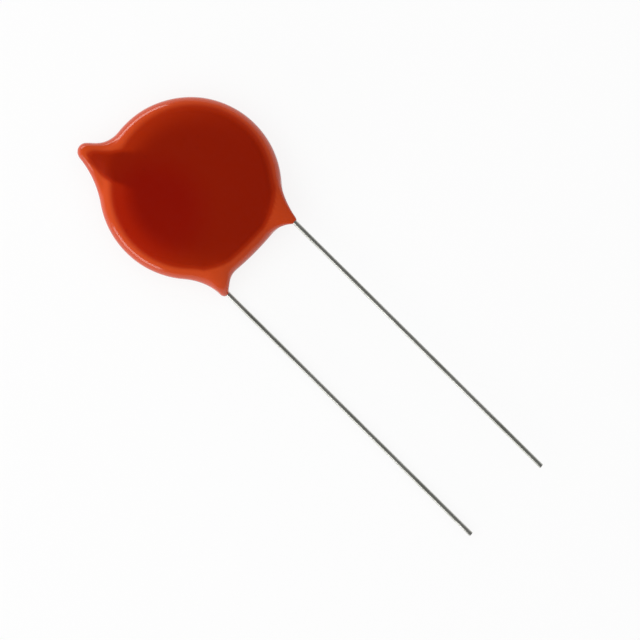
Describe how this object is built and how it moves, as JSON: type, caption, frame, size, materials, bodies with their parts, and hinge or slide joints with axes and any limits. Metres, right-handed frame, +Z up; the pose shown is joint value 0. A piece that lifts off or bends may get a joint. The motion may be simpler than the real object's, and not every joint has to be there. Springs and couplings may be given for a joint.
{
  "type": "ceramic disc capacitor",
  "caption": "Ceramic disc capacitor: a round orange-red dipped resin body with a drip tail and long parallel wire leads that stores a small electric charge.",
  "frame": {"origin": "middle of the flat face that the body rests on", "axes": "+X along the leads towards their cut ends, +Z up, out of the face on top"},
  "size_m": [0.0565, 0.0186, 0.0036],
  "materials": {
    "resin": "dipped phenolic resin, waxed to a soft gloss",
    "ceramic": "fired and bare",
    "silver_film": "fired silver film, satin",
    "solder": "soft solder, bright",
    "tinned_wire": "tinned copper-clad steel wire, dulled"
  },
  "bodies": {
    "root": {"resin_coat": "resin", "ceramic_disc": "ceramic", "front_electrode": "silver_film", "rear_electrode": "silver_film", "front_solder": "solder", "rear_solder": "solder", "front_lead": "tinned_wire", "rear_lead": "tinned_wire"}
  },
  "joints": []
}
